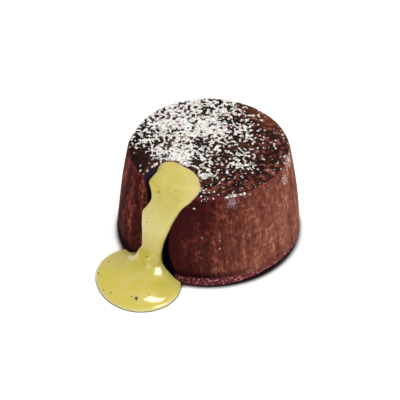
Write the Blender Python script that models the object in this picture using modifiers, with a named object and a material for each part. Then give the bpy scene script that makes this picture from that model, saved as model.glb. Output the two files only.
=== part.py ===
"""A warm lava cake, turned out of its mould and broken open at the front so that its custard runs out.

Metres, +Z up. The origin is the middle of the cake's flat base, where it stands. The custard runs
out towards -Y. There are two solids: the chocolate sponge with its torn gash and hollow heart, and
the molten custard that fills the heart, stands in the gash and ends in a pool on the table.
"""

import math
import random

import bmesh
import bpy
from mathutils import Matrix, Vector, noise

MM = 0.001

# The turned sponge. Its foot draws in towards the table under a shallow groove.
BASE_RADIUS = 37.0 * MM
TOP_RADIUS = 31.55 * MM
HEIGHT = 41.3 * MM
SIDE_BULGE = 0.7 * MM
SHOULDER_RADIUS = 2.1 * MM
FOOT_HEIGHT = 3.0 * MM
FOOT_TUCK = 1.9 * MM
GROOVE_HEIGHT = 4.4 * MM
GROOVE_DEPTH = 0.35 * MM
TURNED_STEPS = 96
# Rings of the top as shares of its flat radius, of the side as shares of the height, and of the foot
TOP_RINGS = (0.3, 0.6, 0.85)
SIDE_RINGS = (0.82, 0.66, 0.5, 0.34, 0.2)
FOOT_RINGS = (0.9, 0.45, 0.15)

# The weak front has sagged: how far its foot stands out, which way, and up to what height
SAG = 2.1 * MM
SAG_TURN = math.radians(-57)
SAG_DIRECTION = Vector((math.cos(SAG_TURN), math.sin(SAG_TURN), 0))
SAG_HEIGHT = 7.0 * MM

# Its relief: how far it moves the surface, and how many lumps it has to the metre
FLUTE_DEPTH = 0.16 * MM
FLUTE_FADE = 12 * MM
SIDE_UNEVEN = 0.35 * MM
SIDE_LUMPS = 60
FOOT_UNEVEN = 0.14 * MM
TOP_UNEVEN = 0.25 * MM
TOP_LUMPS = 90
TOP_FINE_LUMPS = 260

# The hollow heart that the custard comes from
HEART_CENTRE = Vector((0, -8, 22)) * MM
HEART_RADII = Vector((14, 16, 12.5)) * MM
HEART_SEGMENTS = 24

# The torn gash and the custard in it, level by level in millimetres:
# height, left and right edge of the gash, its back, left and right edge of the custard
GASH_LEVELS = (
    (-2.0, -5.6, 3.1, -30.5, -6.6, 2.4),
    (1.0, -5.5, 3.3, -30.5, -5.8, 2.4),
    (2.0, -5.4, 12.6, -30.5, -5.6, 1.8),
    (4.0, -5.1, 11.0, -30.0, -5.0, 1.0),
    (8.0, -4.6, 9.0, -29.5, -4.6, 0.6),
    (12.0, -4.4, 7.6, -28.5, -4.6, 1.4),
    (17.0, -4.9, 6.9, -26.0, -5.4, 3.0),
    (22.0, -5.4, 6.9, -23.0, -5.9, 6.0),
    (27.0, -5.4, 8.2, -20.5, -5.7, 8.2),
    (31.0, -5.0, 9.9, -19.0, -4.6, 9.9),
    (35.0, -6.0, 12.2, -17.8, -9.0, 12.6),
    (38.5, -7.9, 14.4, -16.5, -9.7, 15.0),
    (41.0, -9.5, 16.0, -16.2, -9.9, 16.8),
    (44.0, -10.1, 16.8, -16.0, -10.1, 17.8),
)
GASH_MOUTH = -50.0
GASH_SHOULDER = -29.5
GASH_LEAST_DEPTH = 3.0
GASH_ARC_POINTS = 15
# Under 1 the gash is deepest left of its middle, and under 1 its back is blunter than a half wave
GASH_SKEW = 0.76
GASH_BLUNTNESS = 0.8
TEAR_DEPTH = 0.55
TEAR_LUMPS = 0.35

# The custard
GAP = 0.3 * MM
TOP_CLEARANCE = 1.4 * MM
HEART_CLEARANCE = 0.02 * MM
CUSTARD_VOXEL = 1.0 * MM
CUSTARD_SMOOTHING = 8
CUSTARD_FACES_KEPT = 0.18
# Its face, from the top of the cake over the rim and down to the pool, in millimetres:
# place along Y, height, left and right edge, and how thick the custard is under it
STREAM_STATIONS = (
    (-13.0, 40.9, -12.0, 16.3, 6.0),
    (-19.5, 41.2, -11.0, 15.9, 6.5),
    (-23.5, 41.3, -7.4, 16.6, 6.5),
    (-27.5, 41.0, -7.2, 16.0, 6.5),
    (-30.7, 39.8, -7.2, 13.8, 6.0),
    (-33.0, 37.6, -4.2, 12.4, 5.5),
    (-34.6, 34.8, -2.6, 11.0, 5.5),
    (-35.6, 31.3, -3.9, 9.6, 5.5),
    (-36.5, 27.5, -6.2, 8.3, 5.5),
    (-37.2, 22.5, -5.8, 6.9, 5.5),
    (-37.9, 17.0, -5.1, 5.2, 5.5),
    (-38.6, 12.0, -4.5, 4.5, 5.5),
    (-39.7, 7.5, -4.2, 4.9, 5.0),
    (-41.6, 4.4, -6.2, 7.2, 4.0),
    (-45.5, 3.6, -9.0, 9.6, 3.0),
)
STREAM_POINTS = 20
STREAM_SQUARENESS = 0.7
# The plug of custard in the gash behind the stream
PLUG_TOP = 33.0
PLUG_FRONT = -34.5
PLUG_SQUARENESS = 0.6
# The mound where the stream meets the pool: height and radius, in millimetres
MOUND_MIDDLE = Vector((-0.9, -36.9, 0)) * MM
MOUND_RINGS = ((0.5, 14.4), (1.5, 13.4), (2.5, 12.1), (3.5, 10.5), (5.0, 8.0), (7.5, 5.7), (11.0, 4.3))
# The pool, an oval: height and how far its edge stands in from its widest ring, in millimetres
POOL_MIDDLE = Vector((-0.9, -43.9, 0)) * MM
POOL_RADIUS = 18.15 * MM
POOL_STRETCH = 1.4 * MM
POOL_LONG_AXIS = math.radians(-30)
POOL_RINGS = (
    (-1.6, 1.9),
    (0.0, 0.5),
    (0.6, 0.0),
    (1.1, 0.4),
    (1.6, 1.2),
    (2.1, 2.3),
    (2.6, 3.9),
    (3.1, 6.2),
    (3.5, 9.0),
    (3.6, 12.0),
)
POOL_POINTS = 48

# Clumps of icing sugar large enough to stand out of the crust
SUGAR_CLUMPS = 150
CLUMP_LENGTH = (1.1 * MM, 1.9 * MM)
CLUMP_WIDTH_SHARE = (0.55, 0.9)
CLUMP_HEIGHT_SHARE = (0.4, 0.55)
CLUMP_UNEVEN = (0.8, 1.2)
CLUMP_TILT = (-0.2, 0.2)
CLUMP_PROUD = 0.06 * MM
CLUMP_SPACING = 1.75 * MM
CLUMP_TO_GASH = 1.2 * MM
SUGAR_EDGE = 28.9 * MM
SEED = 11
# The drifts that the sugar fell in, in millimetres: middle, spread, and the share that each covers
SUGAR_DRIFTS = (
    (-20.0, 2.0, 16.0, 0.80),
    (-5.0, -14.0, 9.5, 0.93),
    (-6.5, 8.5, 6.0, 0.88),
    (13.0, -1.5, 8.5, 0.28),
    (6.5, 13.0, 7.0, 0.37),
    (-20.0, 28.5, 18.0, 0.58),
)

TABLE_SIZE = (0.2, 0.2, 0.02)


def clear_scene():
    for obj in list(bpy.data.objects):
        bpy.data.objects.remove(obj, do_unlink=True)


def make_collection(name):
    collection = bpy.data.collections.new(name)
    bpy.context.scene.collection.children.link(collection)
    return collection


def make_material(name, colour, roughness, subsurface=0.0):
    material = bpy.data.materials.new(name)
    material.use_nodes = True
    shader = material.node_tree.nodes["Principled BSDF"]
    shader.inputs["Base Color"].default_value = (*colour, 1)
    shader.inputs["Roughness"].default_value = roughness
    shader.inputs["Metallic"].default_value = 0.0
    shader.inputs["Subsurface Weight"].default_value = subsurface
    material.diffuse_color = (*colour, 1)
    return material


def add_object(name, mesh, collection, material=None):
    obj = bpy.data.objects.new(name, mesh)
    collection.objects.link(obj)
    if material:
        mesh.materials.append(material)
    return obj


def hide_helper(obj):
    obj.hide_render = True
    obj.display_type = "WIRE"


def claim_primitive(name, collection):
    """Names the primitive that was just added, and moves it to the collection."""
    obj = bpy.context.object
    for other in obj.users_collection:
        other.objects.unlink(obj)
    collection.objects.link(obj)
    obj.name = obj.data.name = name
    hide_helper(obj)
    return obj


def apply_modifiers(obj):
    """Swaps the object's mesh for the one that its modifiers make."""
    bpy.context.view_layer.update()
    graph = bpy.context.evaluated_depsgraph_get()
    before = obj.data
    obj.data = bpy.data.meshes.new_from_object(obj.evaluated_get(graph))
    obj.modifiers.clear()
    bpy.data.meshes.remove(before)


def add_boolean(obj, operation, other, solver="EXACT"):
    """Adds a Boolean with another object, or with all the objects of a collection."""
    modifier = obj.modifiers.new(f"{operation.title()} {other.name}", "BOOLEAN")
    modifier.operation = operation
    modifier.solver = solver
    if isinstance(other, bpy.types.Collection):
        modifier.operand_type = "COLLECTION"
        modifier.collection = other
    else:
        modifier.object = other
    return modifier


def turns(count):
    """Equal steps round a circle, in radians."""
    return [math.tau * step / count for step in range(count)]


def level_ring(middle, height, radii):
    """A level ring of points round a middle, with a radius for each of its directions."""
    ring = []
    for turn, radius in zip(turns(len(radii)), radii):
        ring.append(middle + Vector((radius * math.cos(turn), radius * math.sin(turn), height)))
    return ring


def squared(turn, squareness):
    """A point on a circle, pushed out towards the corners of its square as squareness falls below 1."""
    return [math.copysign(abs(value) ** squareness, value) for value in (math.cos(turn), math.sin(turn))]


def loft(name, rings, collection, material=None):
    """A closed solid through rings of equally many points, with flat ends."""
    shape = bmesh.new()
    loops = [[shape.verts.new(point) for point in ring] for ring in rings]
    for low, high in zip(loops, loops[1:]):
        for i in range(len(low)):
            j = (i + 1) % len(low)
            shape.faces.new((low[i], low[j], high[j], high[i]))
    shape.faces.new(reversed(loops[0]))
    shape.faces.new(loops[-1])
    bmesh.ops.recalc_face_normals(shape, faces=shape.faces)
    mesh = bpy.data.meshes.new(name)
    shape.to_mesh(mesh)
    shape.free()
    return add_object(name, mesh, collection, material)


def side_radius(height):
    share = height / HEIGHT
    bulge = SIDE_BULGE * 4 * share * (1 - share)
    return BASE_RADIUS + (TOP_RADIUS - BASE_RADIUS) * share + bulge


def cake_profile(grow, lid):
    """The half outline of the sponge, from the top down its outer side to the base."""
    flat = TOP_RADIUS - SHOULDER_RADIUS
    points = [(flat * share, HEIGHT + lid) for share in TOP_RINGS]
    for degrees in (0, 30, 60, 90):
        turn = math.radians(degrees)
        out, up = SHOULDER_RADIUS + grow, SHOULDER_RADIUS + lid
        points.append((flat + out * math.sin(turn), HEIGHT - SHOULDER_RADIUS + up * math.cos(turn)))
    points += [(side_radius(HEIGHT * share) + grow, HEIGHT * share) for share in SIDE_RINGS]
    points.append((side_radius(GROOVE_HEIGHT) - GROOVE_DEPTH + grow, GROOVE_HEIGHT))
    for share in FOOT_RINGS:
        height = FOOT_HEIGHT * share
        points.append((side_radius(height) - FOOT_TUCK * (1 - share) ** 2 + grow, height))
    return points + [(BASE_RADIUS - FOOT_TUCK + grow, -grow)]


def top_relief(x, y):
    """How far the crust stands above or below its plane here. It is level at the rim."""
    lumps = noise.noise(Vector((x, y, 0)) * TOP_LUMPS) + noise.noise(Vector((x, y, 0)) * TOP_FINE_LUMPS) / 2
    from_rim = 1 - math.hypot(x, y) / TOP_RADIUS
    return TOP_UNEVEN * lumps * min(1, 3 * from_rim)


def side_relief(x, y, z):
    """How far the side stands out of its turned outline here: low flutes and dents, and a dented foot."""
    out = Vector((x, y, 0)).normalized()
    around = out * BASE_RADIUS
    sag = SAG * max(0, out.dot(SAG_DIRECTION)) * max(0, 1 - z / SAG_HEIGHT)
    if z < (FOOT_HEIGHT + GROOVE_HEIGHT) / 2:
        return sag + FOOT_UNEVEN * noise.noise(around * SIDE_LUMPS * 1.5)
    dents = noise.noise((around + Vector((0, 0, z / 2))) * SIDE_LUMPS)
    fade = min(1, (HEIGHT - z) / FLUTE_FADE)
    flutes = math.cos(math.atan2(y, x) * TURNED_STEPS / 2)
    return sag + SIDE_UNEVEN * dents + FLUTE_DEPTH * fade * flutes


def with_relief(point):
    x, y, z = point
    if z > HEIGHT - GAP:
        return Vector((x, y, z + top_relief(x, y)))
    share = 1 + side_relief(x, y, z) / math.hypot(x, y)
    return Vector((x * share, y * share, z))


def turned_cake(name, collection, material=None, grow=0.0, lid=0.0):
    """The whole sponge before it breaks, with its side moved out by grow and its top raised by lid."""
    points = [(radius, 0, height) for radius, height in cake_profile(grow, lid)]
    edges = [(i, i + 1) for i in range(len(points) - 1)]
    profile = bpy.data.meshes.new(name)
    profile.from_pydata(points, edges, [])
    cake = add_object(name, profile, collection, material)
    screw = cake.modifiers.new("Turn", "SCREW")
    screw.axis = "Z"
    screw.steps = screw.render_steps = TURNED_STEPS
    screw.use_merge_vertices = True
    screw.merge_threshold = 0.01 * MM
    apply_modifiers(cake)
    shape = bmesh.new()
    shape.from_mesh(cake.data)
    bmesh.ops.holes_fill(shape, edges=shape.edges, sides=0)
    for vertex in shape.verts:
        vertex.co = with_relief(vertex.co)
    bmesh.ops.triangulate(shape, faces=shape.faces)
    shape.to_mesh(cake.data)
    shape.free()
    return cake


def gash_edge(level, clear):
    """One level of the gash, open to the front, with a torn, uneven edge that stands in by clear."""
    height, left, right, back = level[:4]
    left, right, back = left + clear, right - clear, back - clear
    shoulder = min(GASH_SHOULDER, back - GASH_LEAST_DEPTH)
    points = [Vector((left, GASH_MOUTH, height))]
    for i in range(GASH_ARC_POINTS):
        share = i / (GASH_ARC_POINTS - 1)
        x = left + (right - left) * (1 - math.cos(math.pi * share)) / 2
        depth = max(0.0, math.sin(math.pi * share**GASH_SKEW)) ** GASH_BLUNTNESS
        y = shoulder + (back - shoulder) * depth
        tear = TEAR_DEPTH * noise.noise(Vector((x, y, height)) * TEAR_LUMPS)
        points.append(Vector((x + tear * (0.5 - share), y + tear, height)))
    points.append(Vector((right, GASH_MOUTH, height)))
    return [point * MM for point in points]


def make_gash(name, collection, clear=0.0):
    gash = loft(name, [gash_edge(level, clear / MM) for level in GASH_LEVELS], collection)
    hide_helper(gash)
    return gash


def make_custard_room(collection):
    """The part of the gash that custard stands in: clear of the torn edge, and not the hollow beside it."""
    room = make_gash("custard_room", collection, GAP)
    rings = []
    for height, _, _, _, left, right in GASH_LEVELS:
        corners = ((left, GASH_MOUTH), (right, GASH_MOUTH), (right, 0), (left, 0))
        rings.append([Vector((x, y, height)) * MM for x, y in corners])
    sides = loft("custard_sides", rings, collection)
    hide_helper(sides)
    add_boolean(room, "INTERSECT", sides)
    return room


def make_heart(name, grow, collection):
    """The hollow heart of the cake, or the custard that fills it."""
    bpy.ops.mesh.primitive_uv_sphere_add(segments=HEART_SEGMENTS, ring_count=HEART_SEGMENTS // 2, radius=1)
    heart = claim_primitive(name, collection)
    radii = HEART_RADII + Vector((grow, grow, grow))
    heart.data.transform(Matrix.Translation(HEART_CENTRE) @ Matrix.Diagonal((*radii, 1)))
    return heart


def sugar_share(x, y):
    """The share of the crust that icing sugar covers here."""
    bare = 1.0
    for middle_x, middle_y, spread, strength in SUGAR_DRIFTS:
        away = math.hypot(x / MM - middle_x, y / MM - middle_y) / spread
        bare *= 1 - strength * math.exp(-away * away)
    return 1 - bare


def near_gash(x, y):
    """Whether this place on the top is over the gash, or too near it for a clump."""
    _, left, right, back = (value * MM for value in GASH_LEVELS[-2][:4])
    return left - CLUMP_TO_GASH < x < right + CLUMP_TO_GASH and y < back + CLUMP_TO_GASH


def sugar_places(draw):
    """Places for the clumps, drawn by the sugar's share, each clear of the others and of the gash."""
    places = []
    while len(places) < SUGAR_CLUMPS:
        x, y = (draw.uniform(-SUGAR_EDGE, SUGAR_EDGE) for _ in range(2))
        crowded = any(math.hypot(x - a, y - b) < CLUMP_SPACING for a, b in places)
        if math.hypot(x, y) > SUGAR_EDGE or crowded or near_gash(x, y):
            continue
        if draw.random() < sugar_share(x, y):
            places.append((x, y))
    return places


def make_sugar(collection, material):
    """Flat irregular clumps, half sunk in the crust."""
    draw = random.Random(SEED)
    for index, (x, y) in enumerate(sugar_places(draw)):
        length = draw.uniform(*CLUMP_LENGTH)
        width = length * draw.uniform(*CLUMP_WIDTH_SHARE)
        size = Vector((length, width, length * draw.uniform(*CLUMP_HEIGHT_SHARE)))
        shape = bmesh.new()
        bmesh.ops.create_icosphere(shape, subdivisions=1, radius=0.5)
        for vertex in shape.verts:
            vertex.co *= draw.uniform(*CLUMP_UNEVEN)
        turn = Matrix.Rotation(draw.uniform(0, math.tau), 4, "Z")
        tilt = Matrix.Rotation(draw.uniform(*CLUMP_TILT), 4, "X")
        place = Matrix.Translation((x, y, HEIGHT + top_relief(x, y) + CLUMP_PROUD))
        shape.transform(place @ turn @ tilt @ Matrix.Diagonal((*size, 1)))
        mesh = bpy.data.meshes.new(f"clump_{index}")
        shape.to_mesh(mesh)
        shape.free()
        add_object(mesh.name, mesh, collection, material)


def make_cake(parts, helpers, sponge, sugar):
    """The sponge with its gash and heart cut out, and the largest clumps of sugar fused to its top."""
    cake = turned_cake("cake_body", parts, sponge)
    add_boolean(cake, "DIFFERENCE", make_gash("gash", helpers))
    add_boolean(cake, "DIFFERENCE", make_heart("heart_hollow", GAP, helpers))
    apply_modifiers(cake)
    clumps = make_collection("clumps")
    make_sugar(clumps, sugar)
    add_boolean(cake, "UNION", clumps).material_mode = "TRANSFER"
    apply_modifiers(cake)
    for clump in list(clumps.objects):
        bpy.data.objects.remove(clump, do_unlink=True)
    bpy.data.collections.remove(clumps)
    return cake


def stream_sections():
    """Sections across the custard's path, each a rounded slab that hangs inwards from its outer face."""
    face = [Vector((0, y, z)) for y, z, _, _, _ in STREAM_STATIONS]
    sections = []
    for i, (_, _, left, right, thick) in enumerate(STREAM_STATIONS):
        along = face[min(i + 1, len(face) - 1)] - face[max(i - 1, 0)]
        inward = Vector((1, 0, 0)).cross(along).normalized()
        section = []
        for turn in turns(STREAM_POINTS):
            across, up = squared(turn, STREAM_SQUARENESS)
            x = (left + right) / 2 + across * (right - left) / 2
            point = face[i] + inward * thick * (1 - up) / 2
            section.append(Vector((x, point.y, point.z)) * MM)
        sections.append(section)
    return sections


def plug_sections():
    """The custard that stands in the gash behind the stream, up to where the stream itself fills it."""
    sections = []
    for height, _, _, back, left, right in GASH_LEVELS:
        if height > PLUG_TOP:
            break
        section = []
        for turn in turns(STREAM_POINTS):
            across, deep = squared(turn, PLUG_SQUARENESS)
            x = (left + right) / 2 + across * (right - left) / 2
            y = (PLUG_FRONT + back) / 2 + deep * (back - PLUG_FRONT) / 2
            section.append(Vector((x, y, height)) * MM)
        sections.append(section)
    return sections


def mound_sections():
    rings = []
    for height, radius in MOUND_RINGS:
        rings.append(level_ring(MOUND_MIDDLE, height * MM, [radius * MM] * POOL_POINTS))
    return rings


def pool_sections():
    """Level outlines of the pool, with a bulging edge that draws in where it meets the table."""
    directions = turns(POOL_POINTS)
    widest = [POOL_RADIUS + POOL_STRETCH * math.cos(2 * (turn - POOL_LONG_AXIS)) for turn in directions]
    rings = []
    for height, inset in POOL_RINGS:
        rings.append(level_ring(POOL_MIDDLE, height * MM, [radius - inset * MM for radius in widest]))
    return rings


def make_clearance(helpers):
    """The sponge as the custard must clear it, with a lid that keeps the custard off the top of the crust."""
    shell = turned_cake("sponge_clearance", helpers, grow=GAP, lid=TOP_CLEARANCE)
    add_boolean(shell, "DIFFERENCE", make_custard_room(helpers))
    add_boolean(shell, "DIFFERENCE", make_heart("heart_clearance", HEART_CLEARANCE, helpers))
    hide_helper(shell)
    return shell


def make_table(helpers):
    """A slab under the level that the cake stands on."""
    bpy.ops.mesh.primitive_cube_add(size=1)
    table = claim_primitive("table", helpers)
    table.data.transform(Matrix.Diagonal((*TABLE_SIZE, 1)) @ Matrix.Translation((0, 0, -0.5)))
    return table


def make_custard(parts, helpers, material):
    """One smooth body of stream, plug, mound and pool, joined to the heart and trimmed all round."""
    custard = loft("molten_custard", stream_sections(), parts, material)
    pieces = {"plug": plug_sections(), "mound": mound_sections(), "pool": pool_sections()}
    for name, sections in pieces.items():
        piece = loft(name, sections, helpers)
        hide_helper(piece)
        add_boolean(custard, "UNION", piece)
    blend = custard.modifiers.new("Blend", "REMESH")
    blend.mode = "VOXEL"
    blend.voxel_size = CUSTARD_VOXEL
    melt = custard.modifiers.new("Melt", "SMOOTH")
    melt.iterations = CUSTARD_SMOOTHING
    thin = custard.modifiers.new("Thin out", "DECIMATE")
    thin.ratio = CUSTARD_FACES_KEPT
    apply_modifiers(custard)
    add_boolean(custard, "UNION", make_heart("heart_custard", 0, helpers))
    add_boolean(custard, "DIFFERENCE", make_clearance(helpers), "MANIFOLD")
    add_boolean(custard, "DIFFERENCE", make_table(helpers))
    return custard


def shade(obj):
    """Smooth, apart from edges sharper than the sponge's own flutes."""
    obj.data.shade_smooth()
    obj.data.set_sharp_from_angle(angle=math.radians(35))


def main():
    clear_scene()
    parts = make_collection("lava_cake")
    helpers = make_collection("helpers")
    sponge = make_material("baked chocolate sponge", (0.09, 0.022, 0.014), 0.75)
    sugar = make_material("icing sugar", (0.85, 0.82, 0.80), 0.9)
    custard = make_material("set custard", (0.65, 0.55, 0.17), 0.25, 0.3)
    shade(make_cake(parts, helpers, sponge, sugar))
    shade(make_custard(parts, helpers, custard))


main()
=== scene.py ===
# %% [markdown]
# # A warm lava cake, broken open
#
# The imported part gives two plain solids: the chocolate sponge and the custard that runs out of it.
# Here each gets a finer mesh of the same form and a finish like the real food's. The small things
# that the solids leave out are made as pieces of their own: icing sugar, crumbs and vanilla seeds.
# The solids are loaded first, because they fix where everything is. Nothing moves or resizes them.

# %% The tools, the frame and the unit
import math
import random

import bmesh
import bpy
import numpy as np
from mathutils import Matrix, Vector, noise
from mathutils.bvhtree import BVHTree


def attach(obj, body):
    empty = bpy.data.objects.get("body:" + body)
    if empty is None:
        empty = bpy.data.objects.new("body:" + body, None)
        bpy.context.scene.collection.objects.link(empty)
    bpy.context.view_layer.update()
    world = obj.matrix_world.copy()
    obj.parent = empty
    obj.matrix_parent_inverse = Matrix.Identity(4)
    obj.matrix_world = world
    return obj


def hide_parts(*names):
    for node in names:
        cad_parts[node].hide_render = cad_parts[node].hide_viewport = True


MM = 0.001


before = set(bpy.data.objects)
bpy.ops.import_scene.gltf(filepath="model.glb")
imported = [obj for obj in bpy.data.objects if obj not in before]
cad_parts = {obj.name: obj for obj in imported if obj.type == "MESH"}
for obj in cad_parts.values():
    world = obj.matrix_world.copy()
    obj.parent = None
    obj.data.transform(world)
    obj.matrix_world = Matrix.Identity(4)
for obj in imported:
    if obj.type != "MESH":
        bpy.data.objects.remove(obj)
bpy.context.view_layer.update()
print("packed nodes:", sorted(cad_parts))

# %% [markdown]
# ## Sizes
#
# These are the part's own sizes, so that each finer mesh has the form of the solid that it stands
# for. The cake is a turned shape: a tapered side, a small rounded shoulder and a low foot, which sags
# outwards at the right front. The gash is given level by level, and the custard's path by stations
# along its outer face.

# %% The sponge's sizes
BASE_RADIUS = 37.0 * MM
TOP_RADIUS = 31.55 * MM
HEIGHT = 41.3 * MM
SIDE_BULGE = 0.7 * MM
SHOULDER_RADIUS = 2.1 * MM
FOOT_HEIGHT = 3.0 * MM
FOOT_TUCK = 1.9 * MM
GROOVE_HEIGHT = 4.4 * MM
GROOVE_DEPTH = 0.35 * MM
GROOVE_WIDTH = 0.9 * MM
SAG = 2.1 * MM
SAG_TURN = math.radians(-57)
SAG_DIRECTION = Vector((math.cos(SAG_TURN), math.sin(SAG_TURN), 0))
SAG_HEIGHT = 7.0 * MM
HEART_CENTRE = Vector((0, -8, 22)) * MM
HEART_RADII = Vector((14, 16, 12.5)) * MM

# In mm: height, left edge, right edge and back of the gash, and left and right edge of its custard
GASH_LEVELS = (
    (-2.0, -5.6, 3.1, -30.5, -6.6, 2.4),
    (1.0, -5.5, 3.3, -30.5, -5.8, 2.4),
    (2.0, -5.4, 12.6, -30.5, -5.6, 1.8),
    (4.0, -5.1, 11.0, -30.0, -5.0, 1.0),
    (8.0, -4.6, 9.0, -29.5, -4.6, 0.6),
    (12.0, -4.4, 7.6, -28.5, -4.6, 1.4),
    (17.0, -4.9, 6.9, -26.0, -5.4, 3.0),
    (22.0, -5.4, 6.9, -23.0, -5.9, 6.0),
    (27.0, -5.4, 8.2, -20.5, -5.7, 8.2),
    (31.0, -5.0, 9.9, -19.0, -4.6, 9.9),
    (35.0, -6.0, 12.2, -17.8, -9.0, 12.6),
    (38.5, -7.9, 14.4, -16.5, -9.7, 15.0),
    (41.0, -9.5, 16.0, -16.2, -9.9, 16.8),
    (44.0, -10.1, 16.8, -16.0, -10.1, 17.8),
)
GASH_MOUTH = -50.0
GASH_SHOULDER = -29.5
GASH_LEAST_DEPTH = 3.0
GASH_SKEW = 0.76
GASH_BLUNTNESS = 0.8
TEAR_DEPTH = 0.55
TEAR_LUMPS = 0.35

# %% The custard's sizes
GAP = 0.3 * MM
TOP_CLEARANCE = 1.4 * MM
# In mm: place along Y, height, left edge, right edge, and how thick the custard is behind its face
STREAM_STATIONS = (
    (-13.0, 40.9, -12.0, 16.3, 6.0),
    (-19.5, 41.2, -11.0, 15.9, 6.5),
    (-23.5, 41.3, -7.4, 16.6, 6.5),
    (-27.5, 41.0, -7.2, 16.0, 6.5),
    (-30.7, 39.8, -7.2, 13.8, 6.0),
    (-33.0, 37.6, -4.2, 12.4, 5.5),
    (-34.6, 34.8, -2.6, 11.0, 5.5),
    (-35.6, 31.3, -3.9, 9.6, 5.5),
    (-36.5, 27.5, -6.2, 8.3, 5.5),
    (-37.2, 22.5, -5.8, 6.9, 5.5),
    (-37.9, 17.0, -5.1, 5.2, 5.5),
    (-38.6, 12.0, -4.5, 4.5, 5.5),
    (-39.7, 7.5, -4.2, 4.9, 5.0),
    (-41.6, 4.4, -6.2, 7.2, 4.0),
    (-45.5, 3.6, -9.0, 9.6, 3.0),
)
STREAM_POINTS = 32
STREAM_SQUARENESS = 0.7
PLUG_TOP = 33.0
PLUG_FRONT = -34.5
PLUG_SQUARENESS = 0.6
MOUND_MIDDLE = Vector((-0.9, -36.9, 0)) * MM
# In mm: height and radius
MOUND_RINGS = ((0.5, 14.4), (1.5, 13.4), (2.5, 12.1), (3.5, 10.5), (5.0, 8.0), (7.5, 5.7), (11.0, 4.3))
POOL_MIDDLE = Vector((-0.9, -43.9, 0)) * MM
POOL_RADIUS = 18.15 * MM
POOL_STRETCH = 1.4 * MM
POOL_LONG_AXIS = math.radians(-30)
# In mm: height, and how far the edge stands in from its widest ring
POOL_RINGS = (
    (-1.6, 1.9),
    (0.0, 0.5),
    (0.6, 0.0),
    (1.1, 0.4),
    (1.6, 1.2),
    (2.1, 2.3),
    (2.6, 3.9),
    (3.1, 6.2),
    (3.5, 9.0),
    (3.6, 12.0),
)
POOL_POINTS = 96

# %% [markdown]
# ## The camera
#
# The photograph looks down on the cake from its right front with a long lens. The angle, distance
# and lens were fitted to the outlines of the cake's base and top. The camera is made first, because
# some seeds and sugar grains are placed by where the photograph shows them: a ray goes out from the
# camera through that place in the picture, and the grain sits where the ray meets the food.

# %% A camera at the photograph's viewing angle
PHOTO_SIDE = 400
CAMERA_DISTANCE = 937.4 * MM
CAMERA_ELEVATION = math.radians(39.09)
CAMERA_TURN = Matrix.Rotation(math.radians(38), 3, "Z")
AIM = CAMERA_TURN @ Vector((-3.47, 0, 13.19)) * MM
FOCAL_PIXELS = 2336
SENSOR_MM = 36
SEES_AS_FAR_AS = 20

camera = bpy.data.objects.new("camera", bpy.data.cameras.new("camera"))
bpy.context.scene.collection.objects.link(camera)
bpy.context.scene.camera = camera
camera.data.sensor_width = SENSOR_MM
camera.data.lens = FOCAL_PIXELS / PHOTO_SIDE * SENSOR_MM
camera.data.clip_end = SEES_AS_FAR_AS
to_camera = CAMERA_TURN @ Vector((0, -math.cos(CAMERA_ELEVATION), math.sin(CAMERA_ELEVATION)))
camera.location = AIM + to_camera * CAMERA_DISTANCE
camera.rotation_euler = to_camera.to_track_quat("Z", "Y").to_euler()
bpy.context.view_layer.update()
print(f"a {camera.data.lens:.0f} mm lens, {CAMERA_DISTANCE:.2f} m away")

# %% [markdown]
# ## Helpers for meshes
#
# The shapes come from a few tools: a profile turned by a Screw modifier, a loft through rings of
# points, and Boolean cuts. Each modifier is applied as soon as it has done its work, so that what
# follows can shape the vertices that it made.

# %% Helpers that make, cut and apply
def add_object(name, mesh, *materials):
    obj = bpy.data.objects.new(name, mesh)
    bpy.context.scene.collection.objects.link(obj)
    for material in materials:
        mesh.materials.append(material)
    return obj


def apply_modifiers(obj):
    """Swaps the object's mesh for the one that its modifiers make."""
    bpy.context.view_layer.update()
    graph = bpy.context.evaluated_depsgraph_get()
    before = obj.data
    obj.data = bpy.data.meshes.new_from_object(obj.evaluated_get(graph))
    obj.modifiers.clear()
    bpy.data.meshes.remove(before)


def combine(obj, operation, other, solver="EXACT"):
    """Cuts, joins or intersects with another object, which is then removed."""
    modifier = obj.modifiers.new(operation.title(), "BOOLEAN")
    modifier.operation = operation
    modifier.object = other
    modifier.solver = solver
    if solver == "EXACT":
        modifier.material_mode = "TRANSFER"
    apply_modifiers(obj)
    bpy.data.objects.remove(other, do_unlink=True)


def loft(name, rings, *materials):
    """A closed solid through rings of equally many points, with flat ends."""
    shape = bmesh.new()
    loops = [[shape.verts.new(point) for point in ring] for ring in rings]
    for low, high in zip(loops, loops[1:]):
        for i in range(len(low)):
            j = (i + 1) % len(low)
            shape.faces.new((low[i], low[j], high[j], high[i]))
    shape.faces.new(reversed(loops[0]))
    shape.faces.new(loops[-1])
    bmesh.ops.recalc_face_normals(shape, faces=shape.faces)
    bmesh.ops.triangulate(shape, faces=shape.faces)
    mesh = bpy.data.meshes.new(name)
    shape.to_mesh(mesh)
    shape.free()
    return add_object(name, mesh, *materials)


def triangle_count(obj):
    obj.data.calc_loop_triangles()
    return len(obj.data.loop_triangles)


# %% [markdown]
# ## Helpers for finishes
#
# A colour is written as the eye names it, as an sRGB hex value, and one function turns it into the
# linear light that a shader works in. A material here is a short chain of nodes, and one small
# function adds any node with its settings and its links. Where an input takes another node, the
# link comes from the first output that this node has in use. Food is coloured in layers, as baking,
# damp and powder each change what is under them, so a second function lays one colour over another.
# The sizes of patterns are in millimetres.

# %% Helpers for colours and nodes
# The sockets of a Mix node that blends two colours
SHARE, UNDER, OVER = 0, 6, 7


def linear(hex_colour):
    """The linear RGBA of an sRGB colour such as #d2c470."""
    channels = [int(hex_colour[i : i + 2], 16) / 255 for i in (1, 3, 5)]
    return [c / 12.92 if c <= 0.04045 else ((c + 0.055) / 1.055) ** 2.4 for c in channels] + [1]


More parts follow.
